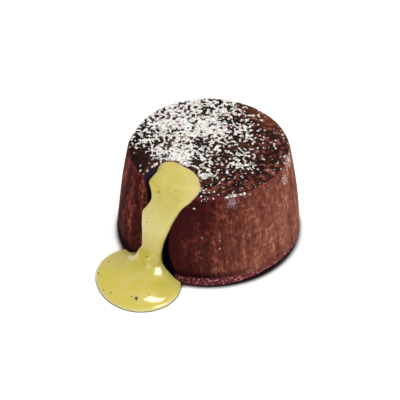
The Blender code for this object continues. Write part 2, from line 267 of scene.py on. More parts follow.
def set_inputs(node, inputs):
    """Gives each input a number, an sRGB hex colour, or a link from another node."""
    for socket, value in inputs.items():
        if isinstance(value, bpy.types.Node):
            value = next(output for output in value.outputs if output.enabled)
        if isinstance(value, bpy.types.NodeSocket):
            node.id_data.links.new(value, node.inputs[socket])
        else:
            node.inputs[socket].default_value = linear(value) if isinstance(value, str) else value


def add_node(tree, kind, inputs=None, stops=(), **settings):
    """Adds a node. A colour ramp also takes its stops, each a position and a colour."""
    node = tree.nodes.new("ShaderNode" + kind)
    for name, value in settings.items():
        setattr(node, name, value)
    while stops and len(node.color_ramp.elements) < len(stops):
        node.color_ramp.elements.new(0.5)
    for i, (position, hex_colour) in enumerate(stops):
        node.color_ramp.elements[i].position = position
        node.color_ramp.elements[i].color = linear(hex_colour)
    set_inputs(node, inputs or {})
    return node


def lay_over(tree, under, over, value, start, full, most=1):
    """Lays a colour over another, from none of it where a value is at start to most of it at full."""
    share = add_node(tree, "MapRange", {"Value": value, "From Min": start, "From Max": full, "To Max": most})
    return add_node(tree, "Mix", {SHARE: share, UNDER: under, OVER: over}, data_type="RGBA")


def start_material(name, **constants):
    """A material, its Principled shader with the settings that never vary, and the place on the object."""
    material = bpy.data.materials.new(name)
    material.use_nodes = True
    tree = material.node_tree
    shader = tree.nodes["Principled BSDF"]
    set_inputs(shader, {socket.replace("_", " "): value for socket, value in constants.items()})
    return material, tree, shader, add_node(tree, "TexCoord").outputs["Object"]


def per_metre(size_mm):
    """The texture scale at which one lump of a pattern is this many millimetres long."""
    return 1 / (size_mm * MM)


# %% [markdown]
# ## Baked chocolate sponge, from the mould
#
# The side baked against greased metal. It is smoother than the top, and dark red-brown where cocoa
# and fat met the hot wall. Turning it out dragged the crumb, which left upright streaks of two
# widths. They come from noises stretched along the cake's height, as a wave would be too regular,
# and a fine crumb breaks them up.

# %% The drawn streaks of the moulded side
# The crumb of such a cake is half a millimetre and less, too fine to show, so it is drawn coarser
CRUMB_SIZE = 1.7
CRUMB_WEIGHT = 0.85
STREAK_SPACING = 1.0
DRAG_SPACING = 3.0
# A noise is stretched upright where its place is squashed along the height by one of these
STREAK_SQUASH = 0.36
DRAG_SQUASH = 0.07
# Along the way to the paler side: where the drags are strong and weak, and where the wall is paler, partly
# baked paler and partly painted light from the right
DRAGS_STRONG, DRAGS_WEAK = -26 * MM, -4 * MM
PALE_AND_LIT_START, PALE_AND_LIT_FULL = -16 * MM, 20 * MM
PHOTO_RIGHT = CAMERA_TURN @ Vector((1, 0, 0))
PALE_AND_LIT_SIDE = CAMERA_TURN @ Vector((0.92, 0, -0.4))


def add_streaks(tree, place, squashed, along):
    """Streaks of two widths. The wide ones are strongest on the photograph's left."""
    streaks = add_node(
        tree, "TexNoise", {"Vector": squashed, "Scale": per_metre(STREAK_SPACING), "Detail": 2}
    )
    drawn_out = add_node(tree, "Mapping", {"Vector": place, "Scale": (1, 1, DRAG_SQUASH)})
    drags = add_node(tree, "TexNoise", {"Vector": drawn_out, "Scale": per_metre(DRAG_SPACING), "Detail": 1})
    from_middle = add_node(tree, "Math", {0: drags, 1: 0.5}, operation="SUBTRACT")
    dragged = add_node(
        tree,
        "MapRange",
        {"Value": along, "From Min": DRAGS_STRONG, "From Max": DRAGS_WEAK, "To Min": 1.2, "To Max": 0.8},
    )
    return add_node(tree, "Math", {0: from_middle, 1: dragged, 2: streaks}, operation="MULTIPLY_ADD")


# %% [markdown]
# The wall's right side is paler than its left: partly it baked paler, and partly this is painted
# light from the right. Broad patches of it caught the heat. Right of the stream it is evenly dark,
# a painted shade that the mesh says in an attribute. Just under the crust's edge runs a thin redder
# band, a painted highlight where the shoulder catches light. Two colour ramps, one for each side,
# follow the streaks and the crumb, and each of the other finishes is a layer over them.

# %% The wall's colours, with their painted light and shade
PATCH_SIZE = 7.0
CRUST_EDGE = HEIGHT - 1.4 * MM
# A painted highlight: a thin redder band under the crust's edge, where the shoulder catches light
RIM_HIGHLIGHT_TOP = CRUST_EDGE + 0.5 * MM
RIM_HIGHLIGHT_FOOT = CRUST_EDGE - 0.1 * MM
RIM_HIGHLIGHT_WAVE = 2.4 * MM


def add_wall(tree, place, height, grain, paler_and_lit):
    """The colour of the wall, from its streaks and crumb, with its painted light and shade, without its
    foot.
    """
    level = add_node(tree, "MapRange", {"Value": grain, "From Min": 0.64, "From Max": 1.32})
    dark = add_node(
        tree, "ValToRGB", {"Fac": level}, stops=((0, "#2b0e0c"), (0.5, "#54211b"), (1, "#964d40"))
    )
    pale = add_node(
        tree, "ValToRGB", {"Fac": level}, stops=((0, "#592c23"), (0.5, "#7d4739"), (1, "#b17f62"))
    )
    # Paler to the right: partly baked paler, partly painted light from the right
    baked = add_node(tree, "Mix", {SHARE: paler_and_lit, UNDER: dark, OVER: pale}, data_type="RGBA")
    burnt = add_node(tree, "Mix", {SHARE: paler_and_lit, UNDER: "#351313", OVER: "#7e4b3e"}, data_type="RGBA")
    patches = add_node(tree, "TexNoise", {"Vector": place, "Scale": per_metre(PATCH_SIZE), "Detail": 3})
    patched = lay_over(tree, baked, burnt, patches, 0.35, 0.65, 0.45)
    # Painted shade right of the stream, where the mesh's attribute says
    stream_shade = add_node(tree, "Attribute", attribute_name="stream_shade").outputs["Fac"]
    stream_shaded = add_node(tree, "Mix", {SHARE: stream_shade, UNDER: patched, OVER: "#341113"}, data_type="RGBA")
    # Painted highlight under the crust's edge, with a wavy lower line
    wavy = add_node(tree, "Math", {0: patches, 1: RIM_HIGHLIGHT_WAVE, 2: height}, operation="MULTIPLY_ADD")
    return lay_over(tree, stream_shaded, "#7a3434", wavy, RIM_HIGHLIGHT_FOOT, RIM_HIGHLIGHT_TOP, 0.45)


# %% [markdown]
# The foot is a rough lip where the cake met the mould's rim, under a shallow groove. Painted shade
# darkens the groove, most at the left as the camera sees it, and fades to the right, where light
# reaches it. Pale pink specks stud the lip: beads of fat and crumb, and painted glints where it
# catches light. A painted shadow makes its underside almost black. Each layer starts at a height
# above the table, and the painted shadow under the lip climbs towards the right.

# %% The foot
BEAD_SIZE = 0.95
# Heights at which the groove's painted shade and the lip start and are full
SHADE_TOP, SHADE_FULL = 6.8 * MM, 5.0 * MM
LIP_TOP, LIP_FULL = 4.2 * MM, 3.6 * MM
# Places across the picture, from the cake's axis: where the shade has faded, and the lip comes in
SHADE_FADED = 18 * MM
LIP_STARTS, LIP_SHOWS = -26 * MM, -14 * MM
SHADE_DARKEST, SHADE_PALEST = 0.92, 0.25
# The painted shadow under the lip climbs from one height to another between two places
SHADOW_LINE_FROM, SHADOW_LINE_TO = 2 * MM, 22 * MM
SHADOW_LINE_LOW, SHADOW_LINE_HIGH = 0.8 * MM, 3.0 * MM
SHADOW_LINE_EDGE = 0.6 * MM


def add_foot(tree, wall, place, height, paler_and_lit):
    """The groove's painted shade, the beaded lip with its painted glints, and the painted shadow under it,
    over the wall's colour.
    """
    across = add_node(tree, "VectorMath", {0: place, 1: PHOTO_RIGHT}, operation="DOT_PRODUCT")
    darkest = add_node(
        tree,
        "MapRange",
        {"Value": across, "From Max": SHADE_FADED, "To Min": SHADE_DARKEST, "To Max": SHADE_PALEST},
    )
    # Painted shade in the groove, darkest at the left
    groove_shaded = lay_over(tree, wall, "#1e0809", height, SHADE_TOP, SHADE_FULL, darkest)
    beads_and_glints = add_node(tree, "TexNoise", {"Vector": place, "Scale": per_metre(BEAD_SIZE), "Detail": 2})
    # The bare lip is brighter to the right, partly painted light
    bare_lip = add_node(tree, "Mix", {SHARE: paler_and_lit, UNDER: "#4a1c1e", OVER: "#672c2e"}, data_type="RGBA")
    # Pale specks on the lip: beads of fat and crumb, and painted glints
    lip = lay_over(tree, bare_lip, "#c9959a", beads_and_glints, 0.53, 0.76)
    shown = add_node(tree, "MapRange", {"Value": across, "From Min": LIP_STARTS, "From Max": LIP_SHOWS})
    on_lip = lay_over(tree, groove_shaded, lip, height, LIP_TOP, LIP_FULL, shown)
    # Painted shadow under the lip, up to a height that climbs to the right
    shadow_line = add_node(
        tree,
        "MapRange",
        {
            "Value": across,
            "From Min": SHADOW_LINE_FROM,
            "From Max": SHADOW_LINE_TO,
            "To Min": SHADOW_LINE_LOW,
            "To Max": SHADOW_LINE_HIGH,
        },
    )
    under = add_node(tree, "Math", {0: shadow_line, 1: height}, operation="SUBTRACT")
    return lay_over(tree, on_lip, "#14080a", under, 0, SHADOW_LINE_EDGE)


# %% [markdown]
# Sugar drifted down the side as a film of fine upright specks, where the mesh's powder attribute
# says. The film takes no room of its own, so it is a colour in the material: a fine noise passes the
# attribute's level in more places the thicker the powder lies.

# %% The film of powder, and the side put together
# Icing sugar is ground to a fiftieth of a millimetre, too fine to show, so its specks are drawn coarser
POWDER_GRAIN = 0.7
# A texture's noise has its middle at a half, and this is how far it commonly strays from it
TEXTURE_SPREAD = 0.12
# How softly a speck of powder fades out, in spreads of the noise
POWDER_EDGE = 1.5


def add_powder(tree, colour, place, film, powder):
    """A film of powder over a colour, where a fine noise passes the level in the mesh's attribute."""
    level = add_node(tree, "Attribute", attribute_name="powder").outputs["Fac"]
    grains = add_node(tree, "TexNoise", {"Vector": place, "Scale": per_metre(POWDER_GRAIN), "Detail": 2})
    passed = add_node(tree, "Math", {0: grains, 1: 1 / TEXTURE_SPREAD, 2: level}, operation="MULTIPLY_ADD")
    middle = 0.5 / TEXTURE_SPREAD
    return lay_over(tree, colour, powder, passed, middle, middle + POWDER_EDGE, film)


def make_side_material():
    material, tree, shader, place = start_material(
        "baked sponge, moulded side", IOR=1.45, Specular_IOR_Level=0.015
    )
    height = add_node(tree, "SeparateXYZ", {0: place}).outputs["Z"]
    along = add_node(tree, "VectorMath", {0: place, 1: PALE_AND_LIT_SIDE}, operation="DOT_PRODUCT")
    # How far towards the paler right a place is: partly baked paler, partly painted light
    paler_and_lit = add_node(
        tree,
        "MapRange",
        {"Value": along, "From Min": PALE_AND_LIT_START, "From Max": PALE_AND_LIT_FULL},
        interpolation_type="SMOOTHSTEP",
    )
    squashed = add_node(tree, "Mapping", {"Vector": place, "Scale": (1, 1, STREAK_SQUASH)})
    streaked = add_streaks(tree, place, squashed, along)
    crumb = add_node(tree, "TexNoise", {"Vector": place, "Scale": per_metre(CRUMB_SIZE), "Detail": 3})
    grain = add_node(tree, "Math", {0: crumb, 1: CRUMB_WEIGHT, 2: streaked}, operation="MULTIPLY_ADD")
    wall = add_wall(tree, place, height, grain, paler_and_lit)
    footed = add_foot(tree, wall, place, height, paler_and_lit)
    drawn = add_node(tree, "Bump", {"Height": streaked, "Distance": 0.1 * MM})
    finish = {
        "Base Color": add_powder(tree, footed, squashed, 0.45, "#ad9092"),
        "Roughness": add_node(tree, "MapRange", {"Value": crumb, "To Min": 0.5, "To Max": 0.9}),
        "Normal": add_node(tree, "Bump", {"Height": crumb, "Distance": 0.2 * MM, "Normal": drawn}),
    }
    set_inputs(shader, finish)
    return material


SIDE_MATERIAL = make_side_material()
print("made", SIDE_MATERIAL.name)

# %% [markdown]
# ## Baked chocolate sponge, the open crust
#
# The crust on top is open and matt, nearly black-brown, with small crumbs and with pores about a
# millimetre across. Two noises make its colour and its relief, and its palest crumbs are partly
# painted highlights. The oven browned it at the back right, and it is darker towards the left. It
# is darkest where sugar lies thick, partly damp and partly painted shade in the pits between the
# sugar, and painted shade darkens its edge at the crease. The mesh's powder attribute says where
# sugar lies: here it is only the thin film that soaked in, and the loose sugar is made as real
# grains further down.

# %% The crust
PORE_SIZE = 2.2
BROWNED_SIDE = CAMERA_TURN @ Vector((0.7, 0.7, 0))
# Where the finishes start and are full: along the way to the browned side, across the picture, by the
# powder's level, and by height
BROWN_START, BROWN_FULL = 22 * MM, 32 * MM
LEFT_DARK_START, LEFT_DARK_FULL = -19 * MM, -26 * MM
DAMP_SHADE_START, DAMP_SHADE_FULL = -1.6, 0
CREASE_SHADE_START, CREASE_SHADE_FULL = HEIGHT - 0.7 * MM, CRUST_EDGE + 0.2 * MM


def make_crust_material():
    material, tree, shader, place = start_material(
        "baked sponge, open crust", IOR=1.4, Specular_IOR_Level=0.08
    )
    pores = add_node(tree, "TexNoise", {"Vector": place, "Scale": per_metre(PORE_SIZE), "Detail": 3})
    # Its palest stop is partly painted highlights on the crumbs' tips
    crumbs = add_node(
        tree,
        "ValToRGB",
        {"Fac": pores},
        stops=((0.37, "#080201"), (0.5, "#30110b"), (0.63, "#70382a"), (0.73, "#a97d6a")),
    )
    patches = add_node(tree, "TexNoise", {"Vector": place, "Scale": per_metre(PATCH_SIZE), "Detail": 2})
    patched = lay_over(tree, crumbs, "#4a1f17", patches, 0.4, 0.65, 0.3)
    along = add_node(tree, "VectorMath", {0: place, 1: BROWNED_SIDE}, operation="DOT_PRODUCT")
    toasted = lay_over(tree, patched, "#86482f", along, BROWN_START, BROWN_FULL, 0.6)
    across = add_node(tree, "VectorMath", {0: place, 1: PHOTO_RIGHT}, operation="DOT_PRODUCT")
    # Darker towards the left
    darker_at_left = lay_over(tree, toasted, "#170907", across, LEFT_DARK_START, LEFT_DARK_FULL, 0.85)
    powder = add_node(tree, "Attribute", attribute_name="powder").outputs["Fac"]
    # Darkest where sugar lies thick: partly damp, partly painted shade in the pits
    damp_and_shaded = lay_over(tree, darker_at_left, "#100504", powder, DAMP_SHADE_START, DAMP_SHADE_FULL, 0.85)
    height = add_node(tree, "SeparateXYZ", {0: place}).outputs["Z"]
    # Painted shade along the crust's edge at the crease
    painted_edge = lay_over(tree, damp_and_shaded, "#2a0c0a", height, CREASE_SHADE_START, CREASE_SHADE_FULL, 0.8)
    finish = {
        "Base Color": add_powder(tree, painted_edge, place, 0.15, "#a8968c"),
        "Roughness": add_node(tree, "MapRange", {"Value": pores, "To Min": 1.0, "To Max": 0.6}),
        "Normal": add_node(tree, "Bump", {"Height": pores, "Distance": 0.4 * MM}),
    }
    set_inputs(shader, finish)
    return material


CRUST_MATERIAL = make_crust_material()
print("made", CRUST_MATERIAL.name)

# %% [markdown]
# ## Torn crumb
#
# Where the cake broke open, its moist inside shows. It is a sponge of small bubbles, purple-brown
# to almost black where chocolate and custard wet it, and deeper in, the near-black navy is partly
# painted shade in the hollow. The first millimetre under the crust is orange-brown: partly it baked
# dry, and partly this is a painted highlight where the torn edge catches light. The mesh holds an
# attribute with the depth below the cake's surface, and the colour goes from dry and lit to wet and
# shaded with it.

# %% The torn crumb
# The bubbles are about half this size, too fine to show, so they are drawn coarser
BUBBLE_SIZE = 1.4


def make_crumb_material():
    material, tree, shader, place = start_material("torn moist sponge", IOR=1.45, Specular_IOR_Level=0.06)
    bubbles = add_node(
        tree, "TexNoise", {"Vector": place, "Scale": per_metre(BUBBLE_SIZE), "Detail": 4, "Roughness": 0.7}
    )
    depth = add_node(tree, "Attribute", attribute_name="depth").outputs["Fac"]
    uneven = add_node(tree, "Math", {0: bubbles, 1: -1.6, 2: 0.8}, operation="MULTIPLY_ADD")
    wet_and_shaded = add_node(tree, "Math", {0: uneven, 1: depth}, operation="ADD")
    # Orange-brown at the torn edge, partly a painted highlight, to near-black navy deep in, partly painted
    # shade
    colours = ((0, "#80421f"), (0.22, "#4c1d1c"), (0.5, "#261224"), (0.9, "#151226"))
    finish = {
        "Base Color": add_node(tree, "ValToRGB", {"Fac": wet_and_shaded}, stops=colours),
        "Roughness": add_node(tree, "MapRange", {"Value": depth, "To Min": 0.8, "To Max": 0.4}),
        "Normal": add_node(tree, "Bump", {"Height": bubbles, "Distance": 0.5 * MM}),
    }
    set_inputs(shader, finish)
    return material


CRUMB_MATERIAL = make_crumb_material()
print("made", CRUMB_MATERIAL.name)

# %% [markdown]
# ## The turned sponge
#
# The cake copies the inside of its mould, so a profile turned round the axis is its true form. The
# profile has a point about every half millimetre and the turn has 480 steps, which is fine enough
# for dents, flutes and crumbs to be real relief in the mesh. Sculpting by hand would not repeat, so
# the relief is noise: broad dents on the side, shallow flutes and a crumbly crust.

# %% The sponge's profile
SPONGE_SPACING = 0.5 * MM
SPONGE_STEPS = 480
MERGE_DISTANCE = 0.01 * MM


def side_radius(height):
    share = height / HEIGHT
    bulge = SIDE_BULGE * 4 * share * (1 - share)
    tuck = FOOT_TUCK * max(0, 1 - height / FOOT_HEIGHT) ** 2
    groove = GROOVE_DEPTH * math.exp(-(((height - GROOVE_HEIGHT) / GROOVE_WIDTH) ** 2))
    return BASE_RADIUS + (TOP_RADIUS - BASE_RADIUS) * share + bulge - tuck - groove


def cake_profile(spacing, grow, lid):
    """The half outline of the sponge, from the top down its outer side to the base."""
    flat = TOP_RADIUS - SHOULDER_RADIUS
    points = [(radius, HEIGHT + lid) for radius in np.arange(spacing, flat, spacing)]
    corner_steps = max(3, round(SHOULDER_RADIUS * math.pi / 2 / spacing))
    for i in range(corner_steps + 1):
        turn = math.pi / 2 * i / corner_steps
        out, up = SHOULDER_RADIUS + grow, SHOULDER_RADIUS + lid
        points.append((flat + out * math.sin(turn), HEIGHT - SHOULDER_RADIUS + up * math.cos(turn)))
    low = points[-1][1]
    count = round(low / spacing)
    for height in np.linspace(low, -grow, count)[1:]:
        points.append((side_radius(height) + grow, height))
    return points


# %% The sponge's relief
SIDE_UNEVEN = 0.35 * MM
SIDE_STRETCH = 2
FLUTE_DEPTH = 0.1 * MM
FLUTE_STRETCH = 20
TOP_UNEVEN = 0.25 * MM
TOP_GROWTH = 3
CRUMB_UNEVEN = 0.12 * MM
# Lumps of each noise in a metre
SIDE_LUMPS = 60
FLUTES = 420
TOP_LUMPS = 90
TOP_FINE_LUMPS = 260
CRUMB_LUMPS = 900


def top_relief(x, y):
    """How far the crust stands above or below its plane here. It is level at the rim."""
    place = Vector((x, y, 0))
    lumps = noise.noise(place * TOP_LUMPS) + noise.noise(place * TOP_FINE_LUMPS) / 2
    from_rim = 1 - math.hypot(x, y) / TOP_RADIUS
    crumb = noise.noise(place * CRUMB_LUMPS)
    return TOP_UNEVEN * lumps * min(1, TOP_GROWTH * from_rim) + CRUMB_UNEVEN * crumb


def side_relief(x, y, z):
    """How far the side stands out of its turned outline here: dents, flutes and crumb."""
    out = Vector((x, y, 0)).normalized()
    around = out * BASE_RADIUS
    sag = SAG * max(0, out.dot(SAG_DIRECTION)) * max(0, 1 - z / SAG_HEIGHT)
    dents = noise.noise((around + Vector((0, 0, z / SIDE_STRETCH))) * SIDE_LUMPS)
    flutes = noise.noise((around + Vector((0, 0, z / FLUTE_STRETCH))) * FLUTES)
    crumb = noise.noise(Vector((x, y, z)) * CRUMB_LUMPS)
    low = min(1, z / (2 * GROOVE_HEIGHT))
    return sag + SIDE_UNEVEN * dents * low + FLUTE_DEPTH * flutes + CRUMB_UNEVEN * crumb / 2


def turned_sponge(name, steps, spacing, grow=0.0, lid=0.0, materials=()):
    """The whole sponge before it breaks, with its side moved out by grow and its top raised by lid."""
    points = [(radius, 0, height) for radius, height in cake_profile(spacing, grow, lid)]
    profile = bpy.data.meshes.new(name)
    profile.from_pydata(points, [(i, i + 1) for i in range(len(points) - 1)], [])
    sponge = add_object(name, profile, *materials)
    screw = sponge.modifiers.new("Turn", "SCREW")
    screw.axis = "Z"
    screw.steps = screw.render_steps = steps
    screw.use_merge_vertices = True
    screw.merge_threshold = MERGE_DISTANCE
    apply_modifiers(sponge)
    shape = bmesh.new()
    shape.from_mesh(sponge.data)
    bmesh.ops.holes_fill(shape, edges=shape.edges, sides=0)
    for vertex in shape.verts:
        x, y, z = vertex.co
        if z > HEIGHT - GAP:
            vertex.co.z += top_relief(x, y)
        else:
            share = 1 + side_relief(x, y, z) / math.hypot(x, y)
            vertex.co.x, vertex.co.y = x * share, y * share
    bmesh.ops.recalc_face_normals(shape, faces=shape.faces)
    bmesh.ops.triangulate(shape, faces=shape.faces)
    shape.to_mesh(sponge.data)
    shape.free()
    return sponge


sponge = turned_sponge(
    "sponge", SPONGE_STEPS, SPONGE_SPACING, materials=(SIDE_MATERIAL, CRUST_MATERIAL, CRUMB_MATERIAL)
)
print("turned sponge:", triangle_count(sponge), "triangles")

# %% [markdown]
# ## The torn gash
#
# The crust gave way at the front and the filling pushed out. The gash is a loft through the part's
# own levels, read every 0.6 mm of height so that its wall can be rough. Three sizes of noise tear
# that wall: crags, crumbs and bubbles. The loft is cut from the sponge, and the cut faces take the
# torn crumb's material with them. The same loft, drawn in by a small clearance, later says where the
# custard may stand.

# %% The gash and the heart
GASH_STEP = 0.6
GASH_ARC_POINTS = 61
BUBBLE_DEPTH = 0.35
BUBBLE_LUMPS = 0.9
FINE_BUBBLE_LUMPS = 2.2
HEART_STEPS, HEART_LEVELS = 48, 24


def gash_edges(height):
    """The gash's left, right and back edge at this height in mm, read between the given levels."""
    table = np.array(GASH_LEVELS)
    return [float(np.interp(height, table[:, 0], table[:, column])) for column in (1, 2, 3)]


def gash_ring(height, clear):
    """One level of the gash, open to the front, with a torn wall that stands in by clear."""
    left, right, back = gash_edges(height)
    left, right, back = left + clear, right - clear, back - clear
    shoulder = min(GASH_SHOULDER, back - GASH_LEAST_DEPTH)
    ring = [Vector((left, GASH_MOUTH, height))]
    for i in range(GASH_ARC_POINTS):
        share = i / (GASH_ARC_POINTS - 1)
        x = left + (right - left) * (1 - math.cos(math.pi * share)) / 2
        depth = max(0.0, math.sin(math.pi * share**GASH_SKEW)) ** GASH_BLUNTNESS
        y = shoulder + (back - shoulder) * depth
        place = Vector((x, y, height))
        tear = TEAR_DEPTH * noise.noise(place * TEAR_LUMPS)
        bubbles = noise.noise(place * BUBBLE_LUMPS) + noise.noise(place * FINE_BUBBLE_LUMPS) / 2
        bubble = BUBBLE_DEPTH * bubbles
        outwards = 2 * share - 1
        x += tear * (0.5 - share) + bubble * outwards
        y += tear + bubble * (1 - abs(outwards))
        ring.append(Vector((x, y, height)))
    ring.append(Vector((right, GASH_MOUTH, height)))
    return [point * MM for point in ring]


def make_gash(name, clear, *materials):
    low, high = GASH_LEVELS[0][0], GASH_LEVELS[-1][0]
    heights = np.linspace(low, high, round((high - low) / GASH_STEP))
    return loft(name, [gash_ring(float(height), clear / MM) for height in heights], *materials)


def make_heart(name, grow, *materials):
    mesh = bpy.data.meshes.new(name)
    shape = bmesh.new()
    bmesh.ops.create_uvsphere(shape, u_segments=HEART_STEPS, v_segments=HEART_LEVELS, radius=1)
    radii = HEART_RADII + Vector((grow, grow, grow))
    shape.transform(Matrix.Translation(HEART_CENTRE) @ Matrix.Diagonal((*radii, 1)))
    shape.to_mesh(mesh)
    shape.free()
    return add_object(name, mesh, *materials)


combine(sponge, "DIFFERENCE", make_gash("gash", 0, CRUMB_MATERIAL))
combine(sponge, "DIFFERENCE", make_heart("heart", GAP, CRUMB_MATERIAL))
print("broken sponge:", triangle_count(sponge), "triangles")

# %% [markdown]
# ## Where the sugar fell
#
# The sugar was sieved from above, mostly over the left and the back, and it thins out towards the
# front right. A few round drifts add up to the share of the crust that it covers at a place. Beside
# the tear it has two gaps, one thinner and one nearly bare. Noise then decides which crumbs are
# white: powder stays on the high ones and leaves the pores dark. The noise would have to pass a low
# level where the share is large and a high one where it is small, and that level is kept on the mesh
# as an attribute that the materials read.

# %% The drifts of sugar
# Middle along X and Y, and spread, in mm, and the share that it covers or clears at its middle
SUGAR_DRIFTS = (
    (-20.0, 2.0, 16.0, 0.80),
    (-5.0, -14.0, 9.5, 0.93),
    (-6.5, 8.5, 6.0, 0.88),
    (13.0, -1.5, 8.5, 0.38),
    (11.5, -16.5, 6.0, 0.36),
    (6.5, 13.0, 7.0, 0.37),
    (-20.0, 28.5, 18.0, 0.58),
)
SUGAR_EVERYWHERE = 0.06
SUGAR_GAPS = (
    (-21.0, -23.0, 6.5, 0.78),
    (-15.5, -26.0, 5.5, 0.97),
)
MOST_COVERED = 0.93
# How steeply the powder's level follows the share, matched to how the noise strays
LEVEL_STEEPNESS = 0.8


def drift(x, y, middle_x, middle_y, spread, strength):
    """The share that one round drift covers here. It is densest in its middle."""
    away = math.hypot(x / MM - middle_x, y / MM - middle_y) / spread
    return strength * math.exp(-away * away)


def sugar_share(x, y):
    """The share of the crust that sugar covers here."""
    bare = 1 - SUGAR_EVERYWHERE
    for place_and_size in SUGAR_DRIFTS:
        bare *= 1 - drift(x, y, *place_and_size)
    share = 1 - bare
    for place_and_size in SUGAR_GAPS:
        share *= 1 - drift(x, y, *place_and_size)
    return share


def powder_level(x, y):
    """How much powder lies here: above nought where it covers more than half, and below it elsewhere."""
    share = min(MOST_COVERED, sugar_share(x, y))
    return LEVEL_STEEPNESS * math.log(share / (1 - share))


# %% [markdown]
# A material can't tell how deep a torn face lies or where powder fell, so the mesh tells it, in an
# attribute for each. Then the faces are sorted: those that the cuts made are torn crumb, those above
# a ragged line along the rim are crust, and the rest are side.

# %% Attributes and materials of the sponge
DRY_DEPTH = 2 * MM
RIM_FADE = 1.5 * MM
RIM_FADE_START = 0.3
# The powder's level where the side is bare, and where it is most dusted
BARE = -4.0
DUSTED = 1.9
EDGE_UNEVEN = 0.3 * MM
EDGE_LUMPS = 500
SPONGE_CREASE = math.radians(60)
# Where the side is dusted, in the photograph's pixels: across, down, half width and half height
DUSTINGS = (
    (232, 202, 9, 10),
    (288, 160, 6, 12),
    (284, 180, 5, 8),
)


def depth_below(place):
    """How far inside the cake's own outline a place is, from its side or from its top."""
    return min(side_radius(place.z) - math.hypot(place.x, place.y), HEIGHT - place.z)


def dusting(place):
    """How thickly the side is dusted here, from 0 to 1. Its hidden half is bare."""
    if Vector((place.x, place.y, 0)).dot(to_camera) <= 0:
        return 0
    seen = camera.matrix_world.inverted() @ place
    across = PHOTO_SIDE / 2 - FOCAL_PIXELS * seen.x / seen.z
    down = PHOTO_SIDE / 2 + FOCAL_PIXELS * seen.y / seen.z
    away = [math.hypot((across - x) / wide, (down - y) / tall) for x, y, wide, tall in DUSTINGS]
    return math.exp(-(min(away) ** 2))


def finish_sponge(obj):
    """Marks the powder and the torn depth on the vertices, and sorts the faces into three materials."""
    mesh = obj.data
    powder = mesh.attributes.new("powder", "FLOAT", "POINT")
    depth = mesh.attributes.new("depth", "FLOAT", "POINT")
    for index, vertex in enumerate(mesh.vertices):
        x, y, z = vertex.co
        depth.data[index].value = min(1, max(0, depth_below(vertex.co) / DRY_DEPTH))
        fallen = min(1, max(0, (HEIGHT - z) / RIM_FADE - RIM_FADE_START))
        on_side = BARE + (DUSTED - BARE) * dusting(vertex.co)
        powder.data[index].value = powder_level(x, y) * (1 - fallen) + on_side * fallen
    side, crust, crumb = 0, 1, 2
    for face in mesh.polygons:
        if face.material_index != crumb:
            ragged = EDGE_UNEVEN * noise.noise(face.center * EDGE_LUMPS)
            face.material_index = crust if face.center.z + ragged > CRUST_EDGE else side
    mesh.shade_smooth()
    mesh.set_sharp_from_angle(angle=SPONGE_CREASE)


finish_sponge(sponge)
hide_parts("cake_body")
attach(sponge, "root")
print("sponge materials:", [material.name for material in sponge.data.materials])

# %% [markdown]
# ## Custard
#
# The filling is a thick egg custard, pale yellow and opaque with a wet gloss. Light goes a
# millimetre or two into it, which subsurface scattering gives, and a low roughness gives the small
# sharp highlights. A skin has dried on the upper part, so the roughness grows and the wet coat goes
# with height. The front of the stream and the pool's bottom rim are painted paler, a painted
# reflection. Where it touches the sponge its edge is painted a pale tan, a painted highlight for
# the light through the thin edge, and deep in the hollow it is painted dark, a painted shade. The
# mesh's attributes say how near the sponge is, and how deep in the hollow.

# %% The custard's material
# By height, as shares of the cake's: the pool's rim, the pool, its mound, the stream and the gash
# The pool's pale rim and the paler front of the stream are painted reflection
CUSTARD_COLOURS_AND_SHEEN = (
    (0.01, "#d0c98f"),
    (0.04, "#cebe50"),
    (0.25, "#c0ae40"),
    (0.55, "#d2c780"),
    (0.95, "#c2b250"),
)
CUSTARD_SWIRL = 7.0
CUSTARD_SKIN = 2.0
# Heights where the dried skin starts and is full
DRY_START, DRY_FULL = 12 * MM, 38 * MM
# Red light goes furthest into it, and blue least
CUSTARD_GLOW = (1.0, 0.85, 0.35)


